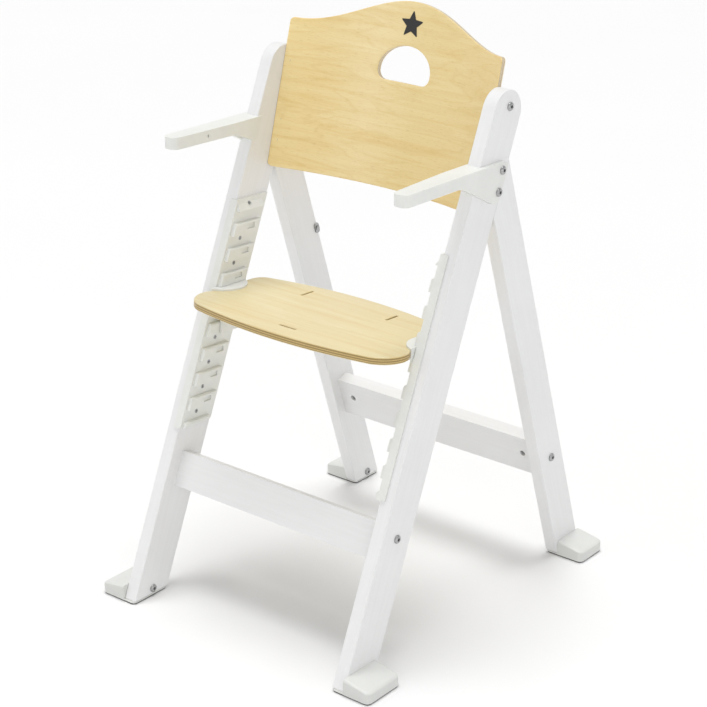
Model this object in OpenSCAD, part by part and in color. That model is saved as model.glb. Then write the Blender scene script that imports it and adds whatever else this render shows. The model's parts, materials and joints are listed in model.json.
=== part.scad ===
// Wooden baby high chair: two A-shaped sides, two stretchers, a bent backrest,
// two armrests and a seat board that slides in slotted side rails.
// Millimetres, +Z up. The chair faces -Y and the origin is on the floor,
// under the middle of the chair.
//
// The chair is laid out from the front foot: y = 0 is the front edge of the
// front legs at the floor, and module placed() moves it all to the origin.

/* [Side frames] */
// Width of the chair over the outer faces of the legs
chair_w = 437; // [420:1:480]
// Thickness of the leg boards
leg_t = 22; // [20:1:24]
// Width of the front leg boards
front_leg_w = 66; // [62:1:70]
// Backward lean of the front legs, in degrees
front_lean = 23.6; // [22.5:0.1:24.5]
// Length of the front legs along their front edge
front_leg_len = 891; // [880:1:900]
// Width of the rear leg boards
rear_leg_w = 56.5; // [52:0.5:60]
// Forward lean of the rear legs, in degrees
rear_lean = 17.5; // [17:0.1:18.5]
// Front edge of the rear legs at the floor
rear_leg_y = 542.4; // [535:0.1:555]

/* [Stretchers] */
// Height of the front stretcher board
front_stretcher_h = 55; // [45:1:65]
// Height of its bolts above the floor
front_bolt_z = 200.4; // [190:0.1:215]
// Height of the rear stretcher board
rear_stretcher_h = 69; // [50:1:72]
// Height of its bolts above the floor
rear_bolt_z = 184.6; // [170:0.1:200]

/* [Seat] */
// Thickness of the seat plywood
seat_t = 12; // [10:0.5:12.5]
// Depth of the seat board from front to back
seat_depth = 213.5; // [205:0.5:220]
// Backward tilt of the seat and of the rail slots, in degrees
seat_tilt = 3.84; // [3:0.01:4.5]
// Number of seat heights
slot_n = 9; // [9:1:9]
// Slot that holds the seat, counted from the top, from 0
seat_slot = 3; // [0:1:8]
// Distance between slots
slot_pitch = 36.77; // [35:0.01:38]
// Height of one slot
slot_h = 18.4; // [18:0.1:19]

/* [Backrest] */
// Thickness of the backrest plywood
back_t = 10; // [9:0.5:10]
// Radius of the bend, measured on the front face
back_r = 470; // [460:1:500]
// Backward lean of the backrest, in degrees
back_lean = 15.68; // [15:0.01:16.5]
// Height of the backrest at its sides
back_side_h = 229; // [220:1:235]
// Rise of the wave above the sides
back_wave_h = 53.5; // [40:0.5:60]

/* [Armrests] */
// Thickness of the armrest bar
arm_t = 18; // [16:0.5:20]
// Height of the armrest's top face over the leg
arm_z = 706; // [700:1:712]
// Rise of the bar from the leg to its tip
arm_rise = 7.5; // [4:0.5:10]

/* [Feet] */
// Reach of the feet, from the middle of the chair
foot_x = 264.5; // [255:0.5:270]
// Thickness of the rubber under each foot
pad_t = 2; // [1.5:0.1:3]
// Thickness of the plastic sole under the leg
sole_t = 2.5; // [2:0.1:3]

/* [Hidden] */
$fn = 48;

xo = chair_w / 2;                        // outer face of the legs
xi = xo - leg_t;                         // inner face of the legs
xm = (xo + xi) / 2;                      // middle of the leg boards
front_slope = tan(front_lean);
rear_slope = tan(rear_lean);
front_run = front_leg_w / cos(front_lean);   // front leg, measured level
rear_run = rear_leg_w / cos(rear_lean);
depth = rear_leg_y + rear_run;
leg_base = pad_t + sole_t;               // underside of the legs
play = 0.4;                              // running gap of the seat in its slots

wood_white = "whitesmoke";
plastic = [0.86, 0.86, 0.83];
birch = "burlywood";
steel = "silver";
rubber = [0.25, 0.25, 0.25];

// Rail, measured inward from the leg's inner face
rail_plate = 4.5;
rail_tooth = 11.5;
rail_inset = 4;                          // rear edge of the rail, from the leg's rear edge
teeth_from = 1.5;                        // teeth, behind the leg's front edge
teeth_to = 52;
pocket_from = 31;                        // pockets in the teeth
pocket_w = 16;
pocket_h = 8;
pocket_deep = 3;
flange_w = 9;                            // lip round the leg's front edge
flange_t = 2.5;
rail_foot = 8.5;                        // last tooth, below the lowest slot
rail_cap = 17;                           // cap above the highest slot
slot_top_z = 588.06;                     // ceiling of the highest slot, in the seat's frame

// Seat, in its own tilted frame
seat_y = 80.2;                           // front edge
seat_side = xi - rail_plate - 3;         // half width inside the slots
lobe_side = seat_side + 6;               // half width of the front lobes
seat_z = slot_top_z - seat_slot * slot_pitch - (slot_h + seat_t) / 2;
cap_r = 38.6;                            // plastic caps clipped on the board's sides
cap_x = xi + 6.1;
cap_y = seat_y + 115;
cap_side = xi - rail_plate - 0.7;
cap_web = [78.5, 151.5];                 // cap's outer web, from the board's front edge
cap_t = (slot_h - seat_t) / 2 - play;
bracket_w = 40;
bracket_t = 3;
bracket_h = 55;
bracket_x = xi - rail_tooth - 0.6;       // face that hangs beside the rail's teeth
bracket_in = 18.4;                       // leg of the bracket under the seat
seat_screw_x = xi - 22.5;
seat_screw_y = [10, 30];                 // along the bracket

// Backrest frame: centre of the front face at the bottom edge
back_y = 368.1;
back_z = 614.3;
back_half = xi - 0.2;
wave_half = 192;
nut_in = 6;                              // barrel nut, in from the backrest's edge

// Fasteners
head_r = 6.5;
shank_r = 2.5;
nut_r = 4;
dowel_r = 4;
slack = 0.05;                            // hole radius over its fastener
fork_gap = 0.05;

// Y of the front edge of the front leg, and of the rear leg, at height z
function front_y(z) = z * front_slope;
function rear_y(z) = rear_leg_y - z * rear_slope;
// Points of an arc
function arc(x, y, r, a0, a1, n = 8) =
    [for (i = [0:n]) let (a = a0 + (a1 - a0) * i / n) [x + r * cos(a), y + r * sin(a)]];
// Half width and height that mirror an outline about x = 0
function mirrored(pts) =
    concat(pts, [for (i = [len(pts) - 1:-1:0]) [-pts[i][0], pts[i][1]]]);

module placed() { translate([0, -depth / 2, 0]) children(); }
module side(s) { mirror([s < 0 ? 1 : 0, 0, 0]) children(); }
// A profile drawn in (y, z), extruded along +X from x0 to x1
module slab(x0, x1) { translate([x0, 0, 0]) rotate([90, 0, 90]) linear_extrude(x1 - x0) children(); }
module seat_frame() { rotate([-seat_tilt, 0, 0]) children(); }
module back_frame() { translate([0, back_y, back_z]) rotate([-back_lean, 0, 0]) children(); }
module along_x(x, y, z, r, len) { translate([x, y, z]) rotate([0, 90, 0]) cylinder(h = len, r = r); }

/* ---- fastener places, each [y, z] ---- */
function front_mid(z) = front_y(z) + front_run / 2;
function rear_mid(z) = rear_y(z) + rear_run / 2;
front_bolt = [front_mid(front_bolt_z), front_bolt_z];
rear_bolt = [rear_mid(rear_bolt_z), rear_bolt_z];
front_dowel = [front_mid(front_bolt_z - 26), front_bolt_z - 26];
rear_dowel = [rear_mid(rear_bolt_z - 21), rear_bolt_z - 21];
bolt_w = -35.2;                          // bolt line, across the backrest's thickness
back_bolt_v = [41.8, 73.6, 163.3];       // up the backrest: two through the armrest, one above
function back_bolt(v) = [
    back_y + v * sin(back_lean) + bolt_w * cos(back_lean),
    back_z + v * cos(back_lean) - bolt_w * sin(back_lean)
];
foot_bolt_z = 13;
foot_bolt_y = [42, 571];
screw_back = 27;                         // rail screws, behind the leg's front edge
anchor = [443, 493];                     // strap anchors on the rear legs
dowel_v = [0.2, 0.6];                    // leg dowels, along the joint
joint_z0 = (rear_leg_y - front_run) / (front_slope + rear_slope);
joint_z1 = (rear_leg_y + rear_run - front_run) / (front_slope + rear_slope);
// Height of the middle of slot k where the rail screws stand
function slot_mid(k) = slot_top_z - k * slot_pitch - slot_h / 2;
function screw_z(zs) = (zs - screw_back * sin(seat_tilt)) /
    (cos(seat_tilt) + front_slope * sin(seat_tilt));
function screw_y(zs) = front_y(screw_z(zs)) + screw_back;
screw_marks = concat([slot_top_z + 8], [for (k = [1:slot_n - 1]) slot_mid(k) + 2]);
// The leg's front edge at height n, in the seat's frame
function rail_front(n) = n * (front_slope * cos(seat_tilt) - sin(seat_tilt)) /
    (cos(seat_tilt) + front_slope * sin(seat_tilt));

/* ---- side frames ---- */
module front_leg_outline() {
    rotate(-front_lean) {
        translate([0, -40]) square([front_leg_w, front_leg_len - front_leg_w / 2 + 40]);
        translate([front_leg_w / 2, front_leg_len - front_leg_w / 2]) circle(r = front_leg_w / 2, $fn = 72);
    }
}

module above(z, x0, x1) { translate([x0, -100, z]) cube([x1 - x0, 1000, 1000]); }

module front_leg() {
    color(wood_white)
    difference() {
        intersection() {
            slab(xi, xo) front_leg_outline();
            above(leg_base, xi, xo);
        }
        for (v = back_bolt_v) along_x(xi - 1, back_bolt(v)[0], back_bolt(v)[1], shank_r + slack, leg_t + 2);
        along_x(xi - 1, front_bolt[0], front_bolt[1], shank_r + slack, leg_t + 2);
        along_x(xi - 1, foot_bolt_y[0], foot_bolt_z, shank_r + slack, leg_t + 2);
        along_x(xi - 1, front_dowel[0], front_dowel[1], dowel_r + slack, 13);
        for (zs = screw_marks) along_x(xi - 1, screw_y(zs), screw_z(zs), 1.75 + slack, 14);
        leg_dowel_pair(dowel_r + slack, 1);
    }
}

// Everything behind the rear edge of the front leg
module behind_front_leg() {
    slab(xi - 1, xo + 1) polygon([
        [front_run - 40 * front_slope, -40],
        [900, -40],
        [900, 1000],
        [front_run + 1000 * front_slope, 1000]
    ]);
}

module rear_leg() {
    color(wood_white)
    difference() {
        intersection() {
            slab(xi, xo) polygon([
                [rear_y(leg_base), leg_base],
                [rear_y(leg_base) + rear_run, leg_base],
                [rear_y(900) + rear_run, 900],
                [rear_y(900), 900]
            ]);
            behind_front_leg();
        }
        along_x(xi - 1, rear_bolt[0], rear_bolt[1], shank_r + slack, leg_t + 2);
        along_x(xi - 1, foot_bolt_y[1], foot_bolt_z, shank_r + slack, leg_t + 2);
        along_x(xi - 1, rear_dowel[0], rear_dowel[1], dowel_r + slack, 13);
        leg_dowel_pair(dowel_r + slack, 1);
        along_x(xi - 1, anchor[0], anchor[1], 2 + slack, 15);
    }
}

// Two dowels square to the joint between the front and the rear leg
module leg_dowel_pair(r, extra) {
    for (f = dowel_v) {
        z = joint_z0 + (joint_z1 - joint_z0) * f;
        translate([xm, front_run + z * front_slope, z])
            rotate([-90 - front_lean, 0, 0])
            translate([0, 0, -20 - extra])
            cylinder(h = 40 + 2 * extra, r = r);
    }
}

/* ---- stretchers ---- */
module stretcher(lean, bolt, h, drop) {
    color(wood_white)
    difference() {
        translate([-xi, bolt[0], bolt[1]]) rotate([-lean, 0, 0])
            translate([0, -leg_t / 2, -h / 2 - drop]) cube([2 * xi, leg_t, h]);
        for (s = [-1, 1]) side(s) children();
    }
}

module cross_nut(lean, bolt, nut_side, r, h) {
    translate([xi - 25, bolt[0], bolt[1]]) rotate([-lean, 0, 0])
        rotate([90, 0, 0]) translate([0, 0, nut_side * (leg_t / 2 - h / 2) - h / 2]) cylinder(h = h, r = r);
}

module front_stretcher() {
    stretcher(front_lean, front_bolt, front_stretcher_h, 11.4) {
        along_x(xi - 36, front_bolt[0], front_bolt[1], shank_r + slack, 37);
        along_x(xi - 14, front_dowel[0], front_dowel[1], dowel_r + slack, 15);
        cross_nut(front_lean, front_bolt, -1, nut_r + 1 + slack, 17);
    }
}

module rear_stretcher() {
    stretcher(-rear_lean, rear_bolt, rear_stretcher_h, 3) {
        along_x(xi - 36, rear_bolt[0], rear_bolt[1], shank_r + slack, 37);
        along_x(xi - 14, rear_dowel[0], rear_dowel[1], dowel_r + slack, 15);
        cross_nut(-rear_lean, rear_bolt, 1, nut_r + 1 + slack, 17);
    }
}

/* ---- seat rails ---- */
// Comb of teeth, drawn in (distance from the leg, height in the seat's frame)
module comb() {
    low = slot_top_z - (slot_n - 1) * slot_pitch - slot_h - rail_foot;
    high = slot_top_z + rail_cap;
    difference() {
        polygon(concat(
            [[0, low], [rail_tooth - 4, low]],
            arc(rail_tooth - 4, low + 4, 4, -90, 0, 6),
            [[rail_tooth, slot_top_z + 0.5], [rail_plate, slot_top_z + 10.5], [0, slot_top_z + 10.5]]
        ));
        for (k = [0:slot_n - 1]) {
            top = slot_top_z - k * slot_pitch;
            difference() {
                translate([rail_plate, top - slot_h - 2.5]) square([20, slot_h + 2.5]);
                translate([0, top - slot_h - 10]) square([rail_tooth - 2.5, 10]);
                translate([rail_tooth - 2.5, top - slot_h - 2.5]) circle(r = 2.5, $fn = 32);
            }
        }
    }
}

module rail_band(u0, u1) {
    rotate(-front_lean) translate([u0, 0]) square([u1 - u0, 800]);
}

module seat_rail() {
    low = slot_top_z - (slot_n - 1) * slot_pitch - slot_h - rail_foot;
    color(plastic)
    difference() {
        union() {
            intersection() {
                slab(xi - rail_tooth - 1, xi) rail_band(teeth_from, teeth_to);
                seat_frame() translate([xi, 600, 0]) rotate([90, 0, 0])
                    linear_extrude(700) mirror([1, 0]) comb();
            }
            intersection() {
                slab(xi - rail_plate, xi) rail_band(-flange_t, front_leg_w - rail_inset);
                seat_frame() translate([xi - 20, -100, low]) cube([40, 600, slot_top_z + rail_cap - low]);
            }
            intersection() {
                slab(xi - rail_plate, xi + flange_w) rail_band(-flange_t, 0);
                seat_frame() translate([xi - 20, -100, low]) cube([40, 600, slot_top_z + rail_cap - low]);
            }
        }
        // shallow pockets that keep the walls of the teeth even
        for (k = [0:slot_n - 2]) {
            n = slot_top_z - k * slot_pitch - slot_h - 12;
            seat_frame() translate([xi - rail_tooth - 1, rail_front(n) + pocket_from, n])
                cube([1 + pocket_deep, pocket_w, pocket_h]);
        }
        for (zs = screw_marks) {
            along_x(xi - 20, screw_y(zs), screw_z(zs), 1.75 + slack, 30);
            along_x(xi - 20, screw_y(zs), screw_z(zs), 3.5 + slack, 22 - rail_plate);
        }
    }
}

/* ---- armrests ---- */
arm_tip_y = 131;
arm_slope = arm_rise / (362 - arm_tip_y);
function arm_top(y) = arm_z + (362 - y) * arm_slope;
arm_out = 7;                             // outer cheek, beyond the leg
arm_in = 2.8;                            // inner cheek
arm_slot_y = 200;                        // blind slot in the bar

module arm_bar_profile() {
    polygon([
        [arm_tip_y, arm_top(arm_tip_y)], [arm_tip_y, arm_top(arm_tip_y) - arm_t],
        [262, arm_top(262) - arm_t], [360, 640], [420, 640], [420, arm_top(420)]
    ]);
}

module arm_outer_cheek() {
    polygon(concat(
        [[258, arm_top(258)], [258, arm_top(258) - arm_t]],
        arc(338, 660, 12, 237, 338, 8),
        [[367, 695]],
        arc(358, arm_top(358) - 9, 9, 0, 84, 6)
    ));
}

module arm_inner_cheek() {
    polygon(concat(
        [[256, arm_top(256)], [256, arm_top(256) - arm_t]],
        arc(298, 681, 8, 238, 340, 6),
        [[317, arm_top(317)]]
    ));
}

module arm_plan() {
    r = 11;
    x0 = xi + 3.5;
    x1 = xo + arm_out;
    polygon(concat(
        arc(x1 - r, arm_tip_y + r, r, 0, -90, 8),
        arc(x0 + r, arm_tip_y + r, r, -90, -180, 8),
        [[xi - arm_in, 256], [xi - arm_in, 420], [x1, 420]]
    ));
}

module armrest() {
    color(plastic)
    difference() {
        union() {
            difference() {
                intersection() {
                    translate([0, 0, 600]) linear_extrude(200) arm_plan();
                    slab(xi - arm_in, xo + arm_out) arm_bar_profile();
                }
                // the leg, and everything behind its front edge
                slab(xi - arm_in - 1, xo + arm_out + 1)
                    polygon([[front_y(600), 600], [500, 600], [500, 900], [front_y(900), 900]]);
            }
            slab(xo + fork_gap, xo + arm_out) arm_outer_cheek();
            slab(xi - arm_in, xi - fork_gap) arm_inner_cheek();
            // webs that join the inner cheek to the bar
            intersection() {
                slab(xi - arm_in, xi + 4) arm_inner_cheek();
                slab(xi - arm_in, xi + 4)
                    polygon([[200, 600], [front_y(600), 600], [front_y(900), 900], [200, 900]]);
            }
            intersection() {
                slab(xo - 4, xo + arm_out) arm_outer_cheek();
                slab(xo - 4, xo + arm_out)
                    polygon([[200, 600], [front_y(600), 600], [front_y(900), 900], [200, 900]]);
            }
        }
        for (v = [back_bolt_v[0], back_bolt_v[1]])
            along_x(xo - 1, back_bolt(v)[0], back_bolt(v)[1], shank_r + slack, 20);
        // a small blind slot in the inner side of the bar
        hull()
            for (d = [-1.2, 1.2])
                along_x(xi - 2, arm_slot_y, arm_top(arm_slot_y) - 9.3 + d, 1.5, 7.2);
    }
}

/* ---- backrest ---- */
// Height of the wavy top edge at x
function wave(x) = back_side_h + back_wave_h * (1 + cos(180 * min(abs(x), wave_half) / wave_half)) / 2;

module backrest_outline() {
    r = 7;
    polygon(concat(
        arc(back_half - r, r, r, -90, 0, 6),
        arc(back_half - r, back_side_h - r, r, 0, 90, 6),
        [for (x = [184:-8:-184]) [x, wave(x)]],
        arc(-back_half + r, back_side_h - r, r, 90, 180, 6),
        arc(-back_half + r, r, r, 180, 270, 6),
        [for (x = [-180:20:180]) [x, 4.4 * (1 - pow(x / 189.3, 2))]]
    ));
}

// Hand hole: a flat bottom with round corners under an elliptical arch
hole_half = 48.5;
hole_low = 162.7;
hole_mid = 178;
hole_rise = 39;
module hand_hole_outline() {
    polygon(concat(
        arc(hole_half - 14, hole_low + 14, 14, -90, 0, 8),
        [for (a = [0:9:180]) [hole_half * cos(a), hole_mid + hole_rise * sin(a)]],
        arc(-hole_half + 14, hole_low + 14, 14, 180, 270, 8)
    ));
}

module across_back(len) { translate([0, 60, 0]) rotate([90, 0, 0]) linear_extrude(len) children(); }

module backrest() {
    color(birch)
    difference() {
        back_frame() intersection() {
            translate([0, -back_r, -20]) difference() {
                cylinder(h = 330, r = back_r + back_t, $fn = 180);
                translate([0, 0, -1]) cylinder(h = 332, r = back_r, $fn = 180);
            }
            across_back(160) difference() {
                backrest_outline();
                hand_hole_outline();
            }
        }
        for (s = [-1, 1]) side(s) for (v = back_bolt_v) {
            along_x(xi - 11, back_bolt(v)[0], back_bolt(v)[1], shank_r + slack, 15);
            back_nut(v, nut_r + slack, 20);
        }
    }
}

// A barrel nut let into the back of the board, across bolt v
module back_nut(v, r, h) {
    back_frame() translate([back_half - nut_in, bolt_w - 3.5, v]) rotate([-90, 0, 0]) cylinder(h = h, r = r);
}

/* ---- feet ---- */
module foot_plan(y0, y1) {
    r = 9;
    polygon(concat(
        [[xi, y0]],
        arc(foot_x - r, y0 + r, r, -90, 0, 6),
        arc(foot_x - r, y1 - r, r, 0, 90, 6),
        [[xi, y1]]
    ));
}

module foot(y0, y1, bolt_y) {
    color(plastic)
    difference() {
        intersection() {
            translate([0, 0, pad_t]) linear_extrude(60) foot_plan(y0, y1);
            translate([0, y1, 0]) rotate([90, 0, 0]) linear_extrude(y1 - y0) polygon(concat(
                [[xi, pad_t], [foot_x, pad_t]],
                arc(foot_x - 6, 12.5, 6, 0, 78, 6),
                [[xo + 5, 25.5], [xo, 26.5], [xo, leg_base], [xi, leg_base]]
            ));
        }
        along_x(xo - 1, bolt_y, foot_bolt_z, shank_r + slack, 21);
    }
}

module pad_plan(y0, y1) {
    intersection() {
        foot_plan(y0, y1);
        translate([xi + 1, y0 + 1]) square([foot_x - xi - 2, y1 - y0 - 2]);
    }
}

module pad(y0, y1) {
    color(rubber) linear_extrude(pad_t) pad_plan(y0, y1);
}

foot_front = [0, front_run + front_y(leg_base)];
foot_rear = [rear_y(leg_base) - 0.5, depth];
module foot_front_side() { foot(foot_front[0], foot_front[1], foot_bolt_y[0]); }
module foot_rear_side() { foot(foot_rear[0], foot_rear[1], foot_bolt_y[1]); }

/* ---- fasteners ---- */
// Button-head bolt: the head stands on x0 and points along +X, the shank runs back
module bolt(x0, y, z, len) {
    translate([x0, y, z]) rotate([0, 90, 0]) difference() {
        union() {
            cylinder(h = 1.4, r = head_r);
            translate([0, 0, 1.4]) cylinder(h = 2.2, r1 = head_r, r2 = head_r - 2);
            translate([0, 0, -len]) cylinder(h = len, r = shank_r);
        }
        translate([0, 0, 1.2]) cylinder(h = 4, r = 2.3, $fn = 6);
    }
}

module both_sides() { for (s = [-1, 1]) side(s) children(); }

module backrest_bolts() {
    color(steel) both_sides()
        bolt(xo, back_bolt(back_bolt_v[2])[0], back_bolt(back_bolt_v[2])[1], leg_t + 10);
}

module armrest_bolts() {
    color(steel) both_sides() for (v = [back_bolt_v[0], back_bolt_v[1]])
        bolt(xo + arm_out, back_bolt(v)[0], back_bolt(v)[1], leg_t + arm_out + 10);
}

module backrest_barrel_nuts() {
    color(steel) both_sides() for (v = back_bolt_v) difference() {
        back_nut(v, nut_r, 7.5);
        along_x(xi - 14, back_bolt(v)[0], back_bolt(v)[1], shank_r + slack, 20);
    }
}

module front_stretcher_bolts() { color(steel) both_sides() bolt(xo, front_bolt[0], front_bolt[1], leg_t + 34); }
module rear_stretcher_bolts() { color(steel) both_sides() bolt(xo, rear_bolt[0], rear_bolt[1], leg_t + 34); }

module stretcher_barrel_nuts() {
    color(steel) both_sides() {
        difference() {
            cross_nut(front_lean, front_bolt, -1, nut_r + 1, 17);
            along_x(xi - 36, front_bolt[0], front_bolt[1], shank_r + slack, 37);
        }
        difference() {
            cross_nut(-rear_lean, rear_bolt, 1, nut_r + 1, 17);
            along_x(xi - 36, rear_bolt[0], rear_bolt[1], shank_r + slack, 37);
        }
    }
}

module rail_screws() {
    color(steel) both_sides() for (zs = screw_marks) {
        along_x(xi - rail_plate + 0.2, screw_y(zs), screw_z(zs), 3.5, 1.8);
        along_x(xi - rail_plate + 1, screw_y(zs), screw_z(zs), 1.75, 15);
    }
}

// The foot bolts go in from the inner face of each leg
module foot_bolts() {
    color(steel) both_sides() for (y = foot_bolt_y)
        translate([xi, 0, 0]) mirror([1, 0, 0]) bolt(0, y, foot_bolt_z, leg_t + 18);
}

module leg_dowels() { color(birch) both_sides() leg_dowel_pair(dowel_r, 0); }

module stretcher_dowels() {
    color(birch) both_sides() {
        along_x(xi - 13, front_dowel[0], front_dowel[1], dowel_r, 24);
        along_x(xi - 13, rear_dowel[0], rear_dowel[1], dowel_r, 24);
    }
}

// A small oval plate for a strap on the inner face of each rear leg
module strap_anchors() {
    color(steel) both_sides() difference() {
        translate([xi - 2.5, anchor[0], anchor[1]]) rotate([rear_lean, 0, 0])
            rotate([90, 0, 90]) linear_extrude(2.5) {
            translate([0, 4]) circle(r = 5);
            translate([0, -4]) circle(r = 5);
            translate([-5, -4]) square([10, 8]);
        }
        along_x(xi - 4, anchor[0], anchor[1], 2 + slack, 8);
    }
}

module strap_anchor_screws() {
    color(steel) both_sides() {
        along_x(xi - 2.5, anchor[0], anchor[1], 2, 16);
        along_x(xi - 4.5, anchor[0], anchor[1], 3.6, 2);
    }
}

/* ---- seat ---- */
module seat_outline() {
    translate([0, seat_y + 91.5]) polygon(mirrored(concat(
        arc(0, 665.5, 757, -88.5, -78.6, 6),
        arc(lobe_side - 46, -30, 46, -72, 0, 10),
        [[lobe_side - 1, -22], [seat_side + 1.5, -15], [seat_side, -12]],
        arc(seat_side - 24, seat_depth - 138, 24, 0, 68, 6),
        arc(0, seat_depth - 731.5, 640, 74.5, 88.5, 6)
    )));
}

module seat_board() {
    color(birch)
    seat_frame() translate([0, 0, seat_z]) difference() {
        linear_extrude(seat_t) difference() {
            seat_outline();
            for (s = [-1, 1]) translate([s * 81.5 - 1.5, seat_y + 159]) square([3, 29]);
            translate([-16, seat_y + 31.5]) square([32, 3]);
        }
        for (s = [-1, 1]) seat_screw_holes(s, -1, seat_t - 2);
    }
}

module seat_screw_holes(s, z, len) {
    for (y = seat_screw_y)
        translate([s * seat_screw_x, cap_y - 23.5 + y, z]) cylinder(h = len, r = 2 + slack);
}

module cap_plate() {
    intersection() {
        translate([cap_x, cap_y, 0]) cylinder(h = cap_t, r = cap_r, $fn = 72);
        translate([0, cap_y - cap_r, 0]) cube([cap_side, 2 * cap_r, cap_t]);
    }
}

// A clip of plastic round the side of the board, running in the slot
module seat_cap() {
    color(plastic)
    seat_frame() translate([0, 0, seat_z]) difference() {
        union() {
            translate([0, 0, seat_t]) cap_plate();
            translate([0, 0, -cap_t]) cap_plate();
            translate([seat_side + slack, seat_y + cap_web[0], -cap_t])
                cube([cap_side - seat_side - slack, cap_web[1] - cap_web[0], seat_t + 2 * cap_t]);
        }
        seat_screw_holes(1, -cap_t - 1, cap_t + 2);
    }
}

module seat_bracket() {
    color(plastic)
    seat_frame() translate([0, cap_y - 23.5, seat_z - cap_t]) difference() {
        union() {
            translate([bracket_x - bracket_in, 0, -bracket_t]) cube([bracket_in, bracket_w, bracket_t]);
            translate([bracket_x - bracket_t, 0, -bracket_h]) cube([bracket_t, bracket_w, bracket_h]);
        }
        for (y = seat_screw_y) translate([seat_screw_x, y, -10]) cylinder(h = 12, r = 2 + slack);
    }
}

module seat_screws() {
    color(steel) seat_frame()
    for (s = [-1, 1], y = seat_screw_y)
        translate([s * seat_screw_x, cap_y - 23.5 + y, seat_z - cap_t - bracket_t]) {
            translate([0, 0, -1.8]) cylinder(h = 1.8, r = 3.6);
            cylinder(h = bracket_t + cap_t + 9, r = 2);
        }
}

placed() side(-1) front_leg();  // front_leg_left
placed() side(1) front_leg();  // front_leg_right
placed() side(-1) rear_leg();  // rear_leg_left
placed() side(1) rear_leg();  // rear_leg_right
placed() front_stretcher();
placed() rear_stretcher();
placed() side(-1) seat_rail();  // seat_rail_left
placed() side(1) seat_rail();  // seat_rail_right
placed() side(-1) armrest();  // armrest_left
placed() side(1) armrest();  // armrest_right
placed() backrest();
placed() side(-1) foot_front_side();  // foot_front_left
placed() side(1) foot_front_side();  // foot_front_right
placed() side(-1) foot_rear_side();  // foot_rear_left
placed() side(1) foot_rear_side();  // foot_rear_right
placed() side(-1) pad(foot_front[0], foot_front[1]);  // pad_front_left
placed() side(1) pad(foot_front[0], foot_front[1]);  // pad_front_right
placed() side(-1) pad(foot_rear[0], foot_rear[1]);  // pad_rear_left
placed() side(1) pad(foot_rear[0], foot_rear[1]);  // pad_rear_right
placed() backrest_bolts();
placed() armrest_bolts();
placed() backrest_barrel_nuts();
placed() front_stretcher_bolts();
placed() rear_stretcher_bolts();
placed() stretcher_barrel_nuts();
placed() rail_screws();
placed() foot_bolts();
placed() leg_dowels();
placed() stretcher_dowels();
placed() strap_anchors();
placed() strap_anchor_screws();
placed() seat_board();
placed() side(-1) seat_cap();  // seat_cap_left
placed() side(1) seat_cap();  // seat_cap_right
placed() side(-1) seat_bracket();  // seat_bracket_left
placed() side(1) seat_bracket();  // seat_bracket_right
placed() seat_screws();
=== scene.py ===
# %% [markdown]
# # A wooden high chair for a baby
# The chair is two A-shaped sides of white lacquered board, two stretchers, a bent birch plywood
# backrest, two short armrests and a plywood seat that slides in toothed rails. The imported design
# is loaded first as a fixed frame. Every piece below is made in metres, in the frame's own place,
# and then told which body of the frame it rides on.

import json
import math

import bmesh
import bpy
from mathutils import Euler, Matrix, Vector

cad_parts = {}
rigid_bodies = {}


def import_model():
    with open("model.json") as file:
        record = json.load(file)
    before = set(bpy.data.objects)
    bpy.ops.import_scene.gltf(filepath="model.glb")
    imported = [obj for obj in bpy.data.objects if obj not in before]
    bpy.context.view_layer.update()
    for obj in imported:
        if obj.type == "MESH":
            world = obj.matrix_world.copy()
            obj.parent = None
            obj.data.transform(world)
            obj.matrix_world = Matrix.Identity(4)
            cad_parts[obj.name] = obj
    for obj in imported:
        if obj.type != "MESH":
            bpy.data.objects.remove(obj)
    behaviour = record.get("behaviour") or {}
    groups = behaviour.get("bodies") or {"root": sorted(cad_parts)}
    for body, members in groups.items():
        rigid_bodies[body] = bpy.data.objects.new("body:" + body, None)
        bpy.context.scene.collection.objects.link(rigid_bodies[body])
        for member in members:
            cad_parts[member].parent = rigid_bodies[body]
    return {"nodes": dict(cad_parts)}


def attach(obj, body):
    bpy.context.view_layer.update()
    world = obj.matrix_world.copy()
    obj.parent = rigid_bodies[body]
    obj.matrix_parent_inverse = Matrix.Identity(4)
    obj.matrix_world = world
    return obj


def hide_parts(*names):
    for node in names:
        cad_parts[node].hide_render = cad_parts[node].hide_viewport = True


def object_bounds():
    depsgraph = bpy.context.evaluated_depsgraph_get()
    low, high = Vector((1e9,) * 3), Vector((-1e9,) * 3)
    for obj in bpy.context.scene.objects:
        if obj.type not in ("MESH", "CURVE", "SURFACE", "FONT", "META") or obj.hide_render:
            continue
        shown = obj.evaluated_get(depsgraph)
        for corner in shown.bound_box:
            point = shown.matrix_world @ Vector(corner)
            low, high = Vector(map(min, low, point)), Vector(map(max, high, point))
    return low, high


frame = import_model()
CAD_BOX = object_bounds()
SIDES = {"left": -1, "right": 1}
print("design box", CAD_BOX)

# %% [markdown]
# ## Camera
# The camera comes before the pieces, so that each of them can be looked at while it is made. It
# stands a little above the armrests, in front of the chair and to its right, with a long lens,
# as a product is usually shown. Its three axes are worked out from two angles and a slight roll.

# %% Camera
CAMERA_PLACE = Vector((1.8671, -2.2884, 1.6070))
CAMERA_TURN = math.radians(39.283)
CAMERA_HEIGHT = math.radians(22.680)
CAMERA_ROLL = math.radians(-0.295)


def camera_axes(turn, height, roll):
    back = Vector(
        (math.sin(turn) * math.cos(height), -math.cos(turn) * math.cos(height), math.sin(height))
    )
    right = Vector((0, 0, 1)).cross(back).normalized()
    up = back.cross(right)
    right_rolled = right * math.cos(roll) + up * math.sin(roll)
    up_rolled = up * math.cos(roll) - right * math.sin(roll)
    return right_rolled, up_rolled, back


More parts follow.
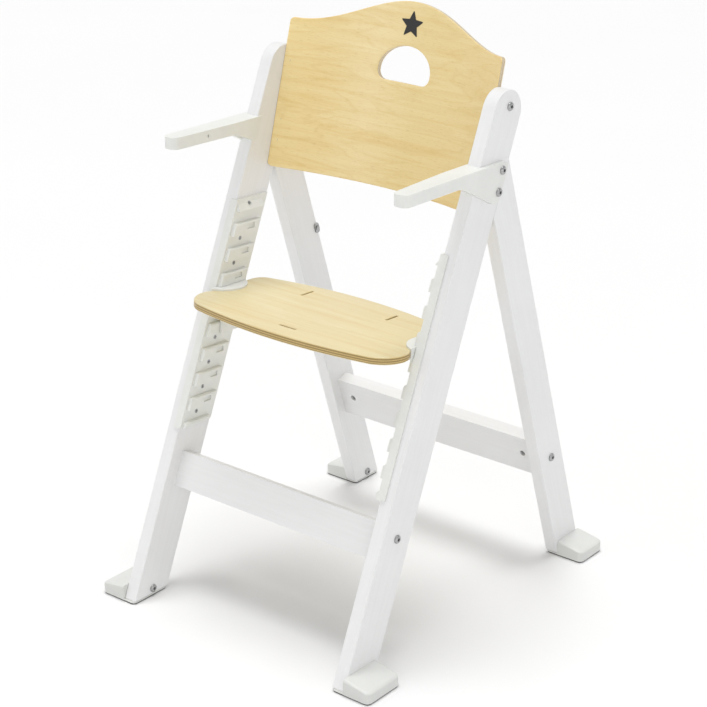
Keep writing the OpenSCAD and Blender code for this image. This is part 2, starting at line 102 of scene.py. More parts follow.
camera_data = bpy.data.cameras.new("studio_camera")
camera_data.lens = 107.54
camera_data.sensor_width = 36
camera_data.clip_end = 100
camera = bpy.data.objects.new("studio_camera", camera_data)
axes = camera_axes(CAMERA_TURN, CAMERA_HEIGHT, CAMERA_ROLL)
camera.matrix_world = Matrix.Translation(CAMERA_PLACE) @ Matrix(axes).transposed().to_4x4()
bpy.context.scene.collection.objects.link(camera)
bpy.context.scene.camera = camera
print("camera at", [round(v, 3) for v in camera.matrix_world.translation])

# %% [markdown]
# ## Small helpers for shader graphs
# A finish is a graph of nodes. Writing each node and each link out by hand is long, so one
# function makes a node, sets its options and either links or sets each of its inputs.


# %% Shader helpers
def new_finish(name):
    material = bpy.data.materials.new(name)
    material.use_nodes = True
    tree = material.node_tree
    return material, tree, tree.nodes["Principled BSDF"]


def feed(tree, target, inputs):
    for key, value in inputs.items():
        if isinstance(value, bpy.types.NodeSocket):
            tree.links.new(value, target.inputs[key])
        else:
            target.inputs[key].default_value = value


def add(tree, kind, inputs=None, **options):
    made = tree.nodes.new(kind)
    for key, value in options.items():
        setattr(made, key, value)
    feed(tree, made, inputs or {})
    return made


def stretched(tree, source, scale):
    return add(tree, "ShaderNodeMapping", {"Vector": source, "Scale": scale}).outputs["Vector"]


def noise(tree, source, scale, detail=4.0, roughness=0.55, distortion=0.0):
    made = add(
        tree,
        "ShaderNodeTexNoise",
        {
            "Vector": source,
            "Scale": scale,
            "Detail": detail,
            "Roughness": roughness,
            "Distortion": distortion,
        },
    )
    return made.outputs["Fac"]


def ramp(tree, value, stops):
    made = add(tree, "ShaderNodeValToRGB", {"Fac": value})
    elements = made.color_ramp.elements
    while len(elements) < len(stops):
        elements.new(0.5)
    for element, (place, colour) in zip(elements, stops):
        element.position = place
        element.color = (*colour, 1.0)
    return made.outputs["Color"]


def spread(tree, value, low, high):
    made = add(tree, "ShaderNodeMapRange", {"Value": value, "To Min": low, "To Max": high})
    return made.outputs["Result"]


def sums(tree, kind, first, second):
    return add(tree, "ShaderNodeMath", {0: first, 1: second}, operation=kind).outputs[0]


def blend_colours(tree, amount, first, second, kind="MIX"):
    inputs = {0: amount, 6: first, 7: second}
    made = add(tree, "ShaderNodeMix", inputs, data_type="RGBA", blend_type=kind)
    return made.outputs[2]


def relief(tree, height, depth, strength, before=None):
    inputs = {"Height": height, "Distance": depth, "Strength": strength}
    if before is not None:
        inputs["Normal"] = before
    return add(tree, "ShaderNodeBump", inputs).outputs["Normal"]


print("shader helpers ready")

# %% [markdown]
# ## White lacquer over solid wood
# The legs and the stretchers are beech boards under white satin lacquer. Under the lacquer the
# grain still shows as faint long ripples, and the spray leaves a fine orange-peel skin. A plain
# white shader would look like paper, so the colour, the gloss and the relief each vary a little.
# The board's own "grain" attribute turns the ripples along each board, whichever way it leans.


# %% White lacquer
def white_lacquer():
    material, tree, shader = new_finish("white_satin_lacquer")
    grain = add(tree, "ShaderNodeAttribute", attribute_name="grain").outputs["Vector"]
    ripples = noise(tree, stretched(tree, grain, (9, 170, 170)), 1.0, 5.0, 0.6)
    patches = noise(tree, grain, 7.0, 3.0)
    peel = noise(tree, grain, 620.0, 2.0)
    dust = noise(tree, grain, 2600.0, 1.0)
    tone = ramp(tree, patches, [(0.3, (0.795, 0.796, 0.798)), (0.7, (0.820, 0.821, 0.823))])
    veil = ramp(tree, ripples, [(0.35, (0.975, 0.974, 0.972)), (0.62, (1, 1, 1))])
    skin = relief(tree, dust, 0.00002, 0.25, relief(tree, peel, 0.00006, 0.35))
    feed(
        tree,
        shader,
        {
            "Base Color": blend_colours(tree, 1.0, tone, veil, "MULTIPLY"),
            "Roughness": spread(tree, patches, 0.30, 0.44),
            "Normal": relief(tree, ripples, 0.00018, 0.30, skin),
            "Coat Weight": 0.18,
            "Coat Roughness": 0.22,
        },
    )
    return material


LACQUER = white_lacquer()
print(LACQUER.name, len(LACQUER.node_tree.nodes), "nodes")

# %% [markdown]
# ## Birch plywood
# Birch veneer is pale and warm. Its figure is long soft streaks, short dark pores and a faint
# curl that catches the light. On the edge of a plywood board every second ply shows its end
# grain and looks darker, with a hair of glue between them. Each board carries two attributes:
# "grain" is the place on the flat board before it was bent, and "ply" runs from 0 to 1 through
# the thickness, so the same finish draws the faces and the edges of both boards. The last two
# settings of a finish say how strong the figure is and how the colour is tinted across the board.
# On the backrest that tint is a painted sheen: a paler, less yellow band a little left of the
# middle, with a darker, yellower band just right of it. On the seat it makes the board bluer and
# less yellow towards its left edge.


# %% Birch plywood
def birch_plywood(name, plies, light, dark, figured, tint_and_sheen_stops):
    material, tree, shader = new_finish(name)
    grain = add(tree, "ShaderNodeAttribute", attribute_name="grain").outputs["Vector"]
    through = add(tree, "ShaderNodeAttribute", attribute_name="ply").outputs["Fac"]
    warp = noise(tree, stretched(tree, grain, (2.2, 9, 9)), 1.0, 3.0)
    streaks = noise(tree, stretched(tree, grain, (3.5, 75, 20)), 1.0, 5.0, 0.62, 0.7)
    rings = noise(tree, stretched(tree, grain, (5, 26, 5)), 1.0, 2.0, 0.5, 1.6)
    pores = noise(tree, stretched(tree, grain, (95, 1500, 200)), 1.0, 2.0, 0.6)
    curl = noise(tree, stretched(tree, grain, (120, 22, 20)), 1.0, 2.0, 0.5, 0.4)
    fibres = noise(tree, stretched(tree, grain, (30, 3800, 900)), 1.0, 3.0, 0.7)
    wood = ramp(
        tree,
        streaks,
        [(0.30, (0.770, 0.600, 0.280)), (0.47, (0.800, 0.660, 0.350)), (0.68, (0.830, 0.705, 0.405))],
    )
    figure = ramp(tree, rings, [(0.44, (1, 1, 1)), (0.50, (0.95, 0.91, 0.82)), (0.56, (1, 1, 1))])
    face = blend_colours(tree, 0.75 * figured, wood, figure, "MULTIPLY")
    specks = ramp(tree, pores, [(0.30, (0.80, 0.70, 0.55)), (0.42, (1, 1, 1))])
    face = blend_colours(tree, 0.70 * figured, face, specks, "MULTIPLY")
    warmth = ramp(tree, warp, [(0.30, (0.965, 0.930, 0.865)), (0.70, (1, 1, 1))])
    face = blend_colours(tree, 0.9, face, warmth, "MULTIPLY")
    # Tint across the board; on the backrest these stops are a painted sheen band.
    across = add(tree, "ShaderNodeSeparateXYZ", {"Vector": grain}).outputs["X"]
    tint_and_sheen_across = ramp(tree, sums(tree, "ADD", sums(tree, "MULTIPLY", across, 2.5), 0.5), tint_and_sheen_stops)
    face = blend_colours(tree, 1.0, face, tint_and_sheen_across, "MULTIPLY")

    layer = sums(tree, "MULTIPLY", through, float(plies))
    swing = sums(tree, "PINGPONG", layer, 1.0)
    stripe = ramp(
        tree,
        swing,
        [(0.40, light), (0.48, (0.120, 0.068, 0.020)), (0.60, dark)],
    )
    ends = noise(tree, stretched(tree, grain, (700, 700, 2600)), 1.0, 3.0, 0.7)
    mottle = ramp(tree, ends, [(0.30, (0.72, 0.68, 0.62)), (0.65, (1, 1, 1))])
    edge = blend_colours(tree, 0.8, stripe, mottle, "MULTIPLY")
    middle = sums(tree, "ABSOLUTE", sums(tree, "SUBTRACT", through, 0.5), 0.0)
    inside = sums(tree, "LESS_THAN", middle, 0.5 - 0.85 / plies)
    hairs = relief(tree, fibres, 0.00004, 0.25)
    pits = relief(tree, pores, 0.00010, 0.30, hairs)
    steps = relief(tree, swing, 0.00020, 0.20, pits)
    feed(
        tree,
        shader,
        {
            "Base Color": blend_colours(tree, inside, face, edge),
            "Roughness": spread(tree, curl, 0.34, 0.50),
            "Normal": steps,
            "Coat Weight": 0.25,
            "Coat Roughness": 0.28,
        },
    )
    return material


# Seat: bluer and less yellow towards its left edge.
EVEN = [(0.0, (0.96, 1.03, 1.20)), (0.5, (0.93, 0.96, 1.07)), (1.0, (0.92, 0.96, 1.03))]
# Backrest: painted sheen, a paler, less yellow band left of the middle and a darker, yellower band
# right of it.
BACK_PAINTED_SHEEN = [
    (0.00, (1.10, 1.07, 0.98)),
    (0.14, (1.05, 1.01, 0.93)),
    (0.36, (1.07, 1.07, 1.10)),
    (0.56, (1.00, 0.97, 0.88)),
    (1.00, (1.03, 0.98, 0.90)),
]
SEAT_PLYWOOD = birch_plywood(
    "birch_plywood_seat", 7, (0.68, 0.50, 0.195), (0.35, 0.235, 0.070), 0.30, EVEN
)
BACK_PLYWOOD = birch_plywood(
    "birch_plywood_back", 5, (0.78, 0.68, 0.50), (0.66, 0.53, 0.34), 1.0, BACK_PAINTED_SHEEN
)
print(SEAT_PLYWOOD.name, len(SEAT_PLYWOOD.node_tree.nodes), "nodes")

# %% [markdown]
# ## Moulded plastic, rubber, steel and the mark's ink
# The rails, armrests, feet and caps are injection-moulded in a warm off-white. The feet's copy of
# that plastic is darker, which is painted shade. A mould's inner face is spark-eroded, which gives
# the plastic a fine satin grain, and the melt leaves faint cloudy flow marks. The soles are matt
# rubber, the bolts are bright zinc on steel with fine turning marks, and the dowels are bare beech.


# %% Moulded plastic
def moulded_plastic(name, shade):
    material, tree, shader = new_finish(name)
    place = add(tree, "ShaderNodeTexCoord").outputs["Object"]
    clouds = noise(tree, place, 22.0, 4.0, 0.6, 0.6)
    texture = noise(tree, place, 1900.0, 2.0, 0.6)
    waves = noise(tree, place, 60.0, 2.0)
    dull = (shade, shade * 1.012, shade * 0.975)
    tone = ramp(tree, clouds, [(0.30, dull), (0.70, tuple(c * 1.05 for c in dull))])
    feed(
        tree,
        shader,
        {
            "Base Color": tone,
            "Roughness": spread(tree, texture, 0.40, 0.56),
            "Normal": relief(tree, texture, 0.00006, 0.35, relief(tree, waves, 0.0003, 0.05)),
            "Subsurface Weight": 0.06,
            "Subsurface Radius": (0.004, 0.004, 0.003),
            "Subsurface Scale": 1.0,
        },
    )
    return material


PLASTIC = moulded_plastic("off_white_moulded_plastic", 0.745)
# The same plastic made darker for the feet: painted shade.
FOOT_PLASTIC_PAINTED_SHADE = moulded_plastic("off_white_plastic_painted_shade_feet", 0.655)
print(PLASTIC.name, FOOT_PLASTIC_PAINTED_SHADE.name)


# %% Rubber, steel, beech and ink
def sole_rubber():
    material, tree, shader = new_finish("matt_sole_rubber")
    place = add(tree, "ShaderNodeTexCoord").outputs["Object"]
    pebble = add(tree, "ShaderNodeTexVoronoi", {"Vector": place, "Scale": 900.0}).outputs["Distance"]
    bloom = noise(tree, place, 40.0, 4.0)
    tint = [(0.3, (0.030, 0.030, 0.031)), (0.7, (0.062, 0.061, 0.058))]
    feed(
        tree,
        shader,
        {
            "Base Color": ramp(tree, bloom, tint),
            "Roughness": spread(tree, bloom, 0.70, 0.88),
            "Normal": relief(tree, pebble, 0.0002, 0.4),
        },
    )
    return material


def zinc_steel():
    material, tree, shader = new_finish("bright_zinc_steel")
    place = add(tree, "ShaderNodeTexCoord").outputs["Object"]
    turning = noise(tree, stretched(tree, place, (5200, 900, 900)), 1.0, 2.0, 0.6)
    spangle = noise(tree, place, 330.0, 3.0)
    tint = [(0.30, (0.330, 0.335, 0.345)), (0.70, (0.500, 0.500, 0.490))]
    feed(
        tree,
        shader,
        {
            "Base Color": ramp(tree, spangle, tint),
            "Metallic": 1.0,
            "Roughness": spread(tree, turning, 0.20, 0.42),
            "Normal": relief(tree, turning, 0.00003, 0.35),
        },
    )
    return material


def beech_dowel():
    material, tree, shader = new_finish("bare_beech_dowel")
    place = add(tree, "ShaderNodeTexCoord").outputs["Object"]
    fleck = noise(tree, stretched(tree, place, (120, 900, 900)), 1.0, 3.0)
    tint = [(0.35, (0.46, 0.28, 0.15)), (0.65, (0.63, 0.43, 0.26))]
    feed(
        tree,
        shader,
        {
            "Base Color": ramp(tree, fleck, tint),
            "Roughness": spread(tree, fleck, 0.6, 0.8),
            "Normal": relief(tree, fleck, 0.0001, 0.4),
        },
    )
    return material


def printed_ink():
    material, tree, shader = new_finish("dark_printed_ink")
    place = add(tree, "ShaderNodeTexCoord").outputs["Object"]
    screen = noise(tree, place, 1400.0, 3.0)
    tint = [(0.3, (0.006, 0.006, 0.007)), (0.7, (0.016, 0.015, 0.015))]
    feed(
        tree,
        shader,
        {
            "Base Color": ramp(tree, screen, tint),
            "Roughness": spread(tree, screen, 0.35, 0.55),
            "Normal": relief(tree, screen, 0.00003, 0.3),
        },
    )
    return material


RUBBER = sole_rubber()
STEEL = zinc_steel()
BEECH = beech_dowel()
INK = printed_ink()
print([m.name for m in (RUBBER, STEEL, BEECH, INK)])

# %% [markdown]
# ## How a board is made
# A board is a flat outline with a thickness and a small round on its edges. A filled 2D curve
# does all of this at once: it takes holes, it extrudes, and its bevel rounds the edges evenly.
# The curve is then turned into a mesh, its corners are merged, and every point remembers where
# it was on the flat board before the board is stood up, leaned or bent.


# %% Outlines
def arc(x, y, radius, start, end, steps=10):
    angles = [math.radians(start + (end - start) * i / steps) for i in range(steps + 1)]
    return [(x + radius * math.cos(a), y + radius * math.sin(a)) for a in angles]


def both_halves(points):
    return points + [(-x, y) for x, y in reversed(points)]


def soften(points, radius, steps=4):
    """Rounds every corner of an outline that turns by more than 25 degrees."""
    made = []
    for i, here in enumerate(points):
        before, after = Vector(points[i - 1]), Vector(points[(i + 1) % len(points)])
        corner = Vector(here)
        into, out = corner - before, after - corner
        turn = into.angle(out)
        if turn < math.radians(25):
            made.append(here)
            continue
        reach = min(radius * math.tan(turn / 2), into.length * 0.45, out.length * 0.45)
        first, last = corner - into.normalized() * reach, corner + out.normalized() * reach
        for k in range(steps + 1):
            t = k / steps
            point = first * (1 - t) ** 2 + corner * 2 * t * (1 - t) + last * t * t
            made.append((point.x, point.y))
    return made


def flat_board(outline, thick, edge, holes=(), cuts=()):
    """A bmesh of the flat board, its thickness centred on z = 0."""
    curve = bpy.data.curves.new("board_outline", "CURVE")
    curve.dimensions = "2D"
    curve.fill_mode = "BOTH"
    for loop in [outline, *holes]:
        spline = curve.splines.new("POLY")
        spline.points.add(len(loop) - 1)
        for point, (x, y) in zip(spline.points, loop):
            point.co = (x, y, 0, 1)
        spline.use_cyclic_u = True
    curve.extrude = thick / 2 - edge
    curve.bevel_depth = edge
    curve.bevel_resolution = 2
    curve.offset = -edge
    holder = bpy.data.objects.new("board_outline", curve)
    bpy.context.scene.collection.objects.link(holder)
    bpy.context.view_layer.update()
    mesh = bpy.data.meshes.new_from_object(holder.evaluated_get(bpy.context.evaluated_depsgraph_get()))
    bm = bmesh.new()
    bm.from_mesh(mesh)
    bpy.data.objects.remove(holder)
    bpy.data.curves.remove(curve)
    bpy.data.meshes.remove(mesh)
    bmesh.ops.remove_doubles(bm, verts=bm.verts, dist=2e-6)
    for cut in cuts:
        everything = bm.verts[:] + bm.edges[:] + bm.faces[:]
        bmesh.ops.bisect_plane(bm, geom=everything, dist=1e-7, plane_co=(cut, 0, 0), plane_no=(1, 0, 0))
    return bm


print("board helpers ready")


# %% Standing a board up
def remember_grain(bm, thick, along=(1, 0)):
    """Stores the place on the flat board, turned so that its first number runs with the grain."""
    grain = bm.verts.layers.float_vector.new("grain")
    ply = bm.verts.layers.float.new("ply")
    ax, ay = along
    for v in bm.verts:
        x, y, z = v.co
        v[grain] = (x * ax + y * ay, y * ax - x * ay, z)
        v[ply] = z / thick + 0.5


def close_and_turn_out(bm):
    bmesh.ops.remove_doubles(bm, verts=bm.verts, dist=2e-6)
    bmesh.ops.recalc_face_normals(bm, faces=bm.faces)


def as_piece(bm, name, material, body, nodes):
    """Turns the bmesh into the finished object, and says what it rides on and stands for."""
    close_and_turn_out(bm)
    mesh = bpy.data.meshes.new(name)
    bm.to_mesh(mesh)
    bm.free()
    mesh.shade_smooth()
    mesh.materials.append(material)
    piece = bpy.data.objects.new(name, mesh)
    bpy.context.scene.collection.objects.link(piece)
    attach(piece, body)
    if nodes:
        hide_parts(*nodes)
    return piece


def crisp(piece, width=None, segments=3, angle=32):
    """Rounds what edges are still sharp and keeps the flat faces looking flat."""
    if width:
        rounding = piece.modifiers.new("edge_rounding", "BEVEL")
        rounding.width = width
        rounding.segments = segments
        rounding.limit_method = "ANGLE"
        rounding.angle_limit = math.radians(angle)
        rounding.use_clamp_overlap = True
    flats = piece.modifiers.new("flat_faces", "WEIGHTED_NORMAL")
    flats.keep_sharp = True
    flats.weight = 90
    return piece


def stand(bm, where):
    for v in bm.verts:
        v.co = where(*v.co)


print("placing helpers ready")

# %% [markdown]
# ## The legs
# Each side of the chair is two boards, 22 mm thick. The front leg leans back by 23.6 degrees and
# has a full round top. The rear leg leans forward and meets the front leg's rear edge in a long
# mitre. Both are drawn from the side, in the chair's own y and z, and stood up to the left and to
# the right. The edges keep a small round, as a router leaves before lacquering.

# %% Sizes of the side frames
FRONT_FOOT = CAD_BOX[0][1]
OUTER, INNER = 0.2185, 0.1965
LEG_THICK = OUTER - INNER
BOARD_ROUND = 0.0012
LEG_LOW = 0.0045
FRONT_LEAN, REAR_LEAN = math.radians(23.6), math.radians(17.5)
FRONT_WIDE, REAR_WIDE = 0.066, 0.0565
FRONT_LONG = 0.891
REAR_START = 0.5424
FRONT_SLOPE, REAR_SLOPE = math.tan(FRONT_LEAN), math.tan(REAR_LEAN)
FRONT_RUN = FRONT_WIDE / math.cos(FRONT_LEAN)
REAR_RUN = REAR_WIDE / math.cos(REAR_LEAN)
print("front leg measured level:", round(FRONT_RUN, 4), "rear leg:", round(REAR_RUN, 4))


# %% Front and rear legs
def front_leg_outline():
    radius = FRONT_WIDE / 2
    top = arc(radius, FRONT_LONG - radius, radius, 0, 180, 28)
    feet = [
        (u, (LEG_LOW + u * math.sin(FRONT_LEAN)) / math.cos(FRONT_LEAN)) for u in (0, FRONT_WIDE)
    ]
    leaned = []
    for u, v in feet + top:
        y = u * math.cos(FRONT_LEAN) + v * math.sin(FRONT_LEAN)
        z = v * math.cos(FRONT_LEAN) - u * math.sin(FRONT_LEAN)
        leaned.append((y, z))
    return leaned


def rear_leg_outline():
    low = REAR_START - LEG_LOW * REAR_SLOPE
    slopes = FRONT_SLOPE + REAR_SLOPE
    joint = [(REAR_START + extra - FRONT_RUN) / slopes for extra in (REAR_RUN, 0)]
    upper = [(FRONT_RUN + z * FRONT_SLOPE, z) for z in joint]
    return [(low, LEG_LOW), (low + REAR_RUN, LEG_LOW), *upper]


def side_board(name, outline, along, side, node):
    bm = flat_board(soften(outline, BOARD_ROUND), LEG_THICK, BOARD_ROUND)
    remember_grain(bm, LEG_THICK, along)
    middle = side * (OUTER + INNER) / 2
    stand(bm, lambda y, z, x: (middle + x, y + FRONT_FOOT, z))
    return crisp(as_piece(bm, name, LACQUER, "frame", [node]))


for word, side in SIDES.items():
    up_front = (math.sin(FRONT_LEAN), math.cos(FRONT_LEAN))
    up_rear = (-math.sin(REAR_LEAN), math.cos(REAR_LEAN))
    side_board("board_front_" + word, front_leg_outline(), up_front, side, "front_leg_" + word)
    side_board("board_rear_" + word, rear_leg_outline(), up_rear, side, "rear_leg_" + word)
print("four leg boards made")

# %% [markdown]
# ## Pieces that keep the design's own mesh
# The stretchers, the rails, the armrests and the caps already have their bores and teeth in the
# design. A copy of that mesh is merged, its flat faces are made whole again, and a bevel rounds
# the edges. This keeps every hole in its exact place, and the rounding is what makes a moulded
# or sawn piece catch the light.


# %% Copies of the design's meshes
def from_design(node, level_out=()):
    """level_out moves thin steps onto one plane: (lowest, highest, wanted) distance from x = 0."""
    bm = bmesh.new()
    bm.from_mesh(frame["nodes"][node].data)
    for low, high, wanted in level_out:
        for v in bm.verts:
            if low <= abs(v.co.x) <= high:
                v.co.x = math.copysign(wanted, v.co.x)
    bmesh.ops.remove_doubles(bm, verts=bm.verts, dist=4e-6)
    bmesh.ops.dissolve_degenerate(bm, dist=1e-6, edges=bm.edges)
    bmesh.ops.dissolve_limit(bm, angle_limit=math.radians(0.8), verts=bm.verts, edges=bm.edges)
    return bm


def stretcher(name, node, lean):
    bm = from_design(node)
    grain = bm.verts.layers.float_vector.new("grain")
    for v in bm.verts:
        x, y, z = v.co
        across = y * math.cos(lean) - z * math.sin(lean)
        v[grain] = (x, across, y * math.sin(lean) + z * math.cos(lean))
    return crisp(as_piece(bm, name, LACQUER, "frame", [node]), BOARD_ROUND)


stretcher("board_front_stretcher", "front_stretcher", FRONT_LEAN)
stretcher("board_rear_stretcher", "rear_stretcher", -REAR_LEAN)
print("stretchers made")

# %% [markdown]
# ## The toothed rails, the armrests and the seat's clips
# These are the moulded pieces. The rail is a plate with nine slots between its teeth and a lip
# round the front of the leg. The armrest is a bar with a fork that goes over the leg. The seat's
# caps clip round the board and run in the slots.


# %% Moulded pieces
def moulded(name, node, rounding, body="frame", level_out=()):
    bm = from_design(node, level_out)
    return crisp(as_piece(bm, name, PLASTIC, body, [node]), rounding)


FORK_GAP = 5e-5
HAIR = 1e-5
FORK_STEPS = [
    (OUTER - HAIR, OUTER + FORK_GAP + HAIR, OUTER + FORK_GAP),
    (INNER - FORK_GAP - HAIR, INNER + HAIR, INNER - FORK_GAP),
]
for word in SIDES:
    moulded("toothed_rail_" + word, "seat_rail_" + word, 0.0006)
    moulded("armrest_fork_" + word, "armrest_" + word, 0.0012, level_out=FORK_STEPS)
    moulded("seat_clip_" + word, "seat_cap_" + word, 0.0006, "seat")
    moulded("seat_lock_" + word, "seat_bracket_" + word, 0.0006, "seat")
print("rails, armrests and seat clips made")

# %% [markdown]
# ## The feet
# A foot is a block outside the leg with a sloping, softly rounded top, and a thin sole under the
# leg. The block is a board with a generous edge round, twice as high as needed. Its lower half and
# what reaches into the leg are cut away, so only the free edges are round. Then the top is sloped.

# %% Foot sizes
FOOT_REACH = CAD_BOX[1][0]
PAD_THICK = 0.002
FOOT_HIGH, FOOT_LOW = 0.0265, 0.0185
FRONT_FOOT_SPAN = (0.0, FRONT_RUN + LEG_LOW * FRONT_SLOPE)
REAR_FOOT_SPAN = (REAR_START - LEG_LOW * REAR_SLOPE - 0.0005, CAD_BOX[1][1] - CAD_BOX[0][1])
print("front foot", FRONT_FOOT_SPAN, "rear foot", REAR_FOOT_SPAN)


# %% Foot shapes
def cut_away(bm, place, outward):
    """Cuts off what lies outward of a plane and closes the cut."""
    everything = bm.verts[:] + bm.edges[:] + bm.faces[:]
    bmesh.ops.bisect_plane(
        bm, geom=everything, dist=1e-7, plane_co=place, plane_no=outward, clear_outer=True
    )
    bmesh.ops.holes_fill(bm, edges=[e for e in bm.edges if e.is_boundary])


def foot_block(span):
    tall = FOOT_HIGH - PAD_THICK
    x0, (y0, y1) = OUTER - 0.012, span
    corners = [(x0, y0), (FOOT_REACH, y0), (FOOT_REACH, y1), (x0, y1)]
    bm = flat_board(soften(corners, 0.009, 8), 2 * tall, 0.0048, cuts=[0.225, 0.235, 0.245])
    cut_away(bm, (0, 0, 0), (0, 0, -1))
    cut_away(bm, (OUTER + FORK_GAP, 0, 0), (-1, 0, 0))
    for v in bm.verts:
        out = (v.co.x - OUTER) / (FOOT_REACH - OUTER)
        slope = 1 - (1 - (FOOT_LOW - PAD_THICK) / tall) * max(0.0, out) ** 1.2
        v.co.z = PAD_THICK + v.co.z * slope
        v.co.y += FRONT_FOOT
    return bm


def foot_plate(span, low, high, inset, edge):
    x0, x1, y0, y1 = INNER + inset, FOOT_REACH - inset, span[0] + inset, span[1] - inset
    corners = [(x0, y0), (x1, y0), (x1, y1), (x0, y1)]
    bm = flat_board(soften(corners, 0.008 - inset, 6), high - low, edge)
    stand(bm, lambda x, y, z: (x, y + FRONT_FOOT, z + (low + high) / 2))
    return bm


def join(*parts):
    whole = bmesh.new()
    for part in parts:
        carrier = bpy.data.meshes.new("carrier")
        part.to_mesh(carrier)
        part.free()
        whole.from_mesh(carrier)
        bpy.data.meshes.remove(carrier)
    return whole


def to_side(bm, side):
    stand(bm, lambda x, y, z: (side * x, y, z))
    return bm


for end, span in (("front", FRONT_FOOT_SPAN), ("rear", REAR_FOOT_SPAN)):
    for word, side in SIDES.items():
        sole = foot_plate(span, PAD_THICK, LEG_LOW, 0.0, 0.0005)
        cut_away(sole, (OUTER + FORK_GAP, 0, 0), (1, 0, 0))
        foot = to_side(join(foot_block(span), sole), side)
        node = f"foot_{end}_{word}"
        shoe = as_piece(foot, f"shoe_{end}_{word}", FOOT_PLASTIC_PAINTED_SHADE, "frame", [node])
        crisp(shoe, 0.0002)
        grip = to_side(foot_plate(span, 0.0, PAD_THICK, 0.001, 0.0004), side)
        node = f"pad_{end}_{word}"
        crisp(as_piece(grip, f"grip_{end}_{word}", RUBBER, "frame", [node]))
print("feet and grips made")

# %% [markdown]
# ## The bent backrest
# The backrest is a single plywood board, pressed into a shallow curve while its glue sets. It is
# made flat, with its wavy top and its hand hole, and cut into upright strips so that it can bend.
# Then each point moves onto a cylinder of 470 mm radius, and the whole board leans back.

# %% Backrest sizes
BACK_RADIUS, BACK_THICK = 0.470, 0.010
BACK_LEAN = math.radians(15.68)
BACK_FOOT = (0.3681, 0.6143)
BACK_HALF = INNER - 0.0002
SIDE_HIGH, WAVE_HIGH, WAVE_HALF = 0.229, 0.0535, 0.192


def back_place(x, v, w):
    """x across, v up the board, w through it: onto the cylinder, then leaned back."""
    depth = math.sqrt((BACK_RADIUS + BACK_THICK / 2 + w) ** 2 - x * x) - BACK_RADIUS
    y = BACK_FOOT[0] + v * math.sin(BACK_LEAN) + depth * math.cos(BACK_LEAN)
    z = BACK_FOOT[1] + v * math.cos(BACK_LEAN) - depth * math.sin(BACK_LEAN)
    return (x, y + FRONT_FOOT, z)


print("middle of the backrest's foot:", [round(c, 4) for c in back_place(0, 0, 0)])


# %% Backrest board
def wave(x):
    return SIDE_HIGH + WAVE_HIGH * (1 + math.cos(math.pi * min(abs(x), WAVE_HALF) / WAVE_HALF)) / 2


def backrest_outline():
    r = 0.007
    low = [(x / 1000, 0.0044 * (1 - (x / 189.3) ** 2)) for x in range(-180, 181, 12)]
    top = [(x / 1000, wave(x / 1000)) for x in range(184, -185, -4)]
    right = arc(BACK_HALF - r, r, r, -90, 0, 6) + arc(BACK_HALF - r, SIDE_HIGH - r, r, 0, 90, 6)
    left = arc(-BACK_HALF + r, SIDE_HIGH - r, r, 90, 180, 6) + arc(-BACK_HALF + r, r, r, 180, 270, 6)
    return low + right + top + left


def hand_hole_outline():
    half, low, middle, rise, r = 0.0485, 0.1627, 0.178, 0.039, 0.014
    turns = [math.radians(a) for a in range(0, 181, 5)]
    arch = [(half * math.cos(a), middle + rise * math.sin(a)) for a in turns]
    return arc(half - r, low + r, r, -90, -6, 8) + arch + arc(-half + r, low + r, r, 186, 270, 8)


strips = [x / 1000 for x in range(-192, 193, 6)]
back = flat_board(backrest_outline(), BACK_THICK, 0.0016, [hand_hole_outline()], strips)
remember_grain(back, BACK_THICK)
stand(back, back_place)
backrest = as_piece(back, "bent_backrest", BACK_PLYWOOD, "frame", ["backrest"])
crisp(backrest)
print("backrest faces:", len(backrest.data.polygons))

# %% [markdown]
# ## A plain star on the backrest
# A small printed mark sits above the hand hole. It is a plain five-pointed star, a hair thicker
# than the lacquer, cut as a thin board and laid on the curved front face.


# %% Star
def star_outline(reach, waist, points=5):
    made = []
    for i in range(points * 2):
        angle = math.pi / 2 + math.pi * i / points
        radius = reach if i % 2 == 0 else waist
        made.append((radius * math.cos(angle), radius * math.sin(angle)))
    return soften(made, 0.0012)


STAR_HEIGHT = 0.2486
star = flat_board(star_outline(0.0215, 0.0098), 0.0005, 0.0001, cuts=[-0.01, 0, 0.01])
stand(star, lambda x, v, w: back_place(x, v + STAR_HEIGHT, w - BACK_THICK / 2 - 0.0002))
crisp(as_piece(star, "printed_star", INK, "frame", []))
print("star made")

# %% [markdown]
# ## The seat board
# The seat is 12 mm birch plywood. Its front swells into a wide arc in front of the rails, its sides
# are narrower where they run in the slots, and it has three slots for a harness. It tilts back
# with the rail's slots.

# %% Seat sizes
SEAT_TILT = math.radians(3.84)
SEAT_THICK = 0.012
SEAT_FRONT = 0.0802
SEAT_SIDE, LOBE_SIDE = 0.189, 0.195
SLOT_TOP, SLOT_PITCH, SLOT_HIGH = 0.58806, 0.03677, 0.0184
SEAT_SLOT = 3
SEAT_UNDER = SLOT_TOP - SEAT_SLOT * SLOT_PITCH - (SLOT_HIGH + SEAT_THICK) / 2


def seat_place(x, y, n):
    """The tilted frame of the seat and the slots: y along the slots, n square to them."""
    return (
        x,
        y * math.cos(SEAT_TILT) + n * math.sin(SEAT_TILT) + FRONT_FOOT,
        n * math.cos(SEAT_TILT) - y * math.sin(SEAT_TILT),
    )


print("seat underside in its own frame:", round(SEAT_UNDER, 4))


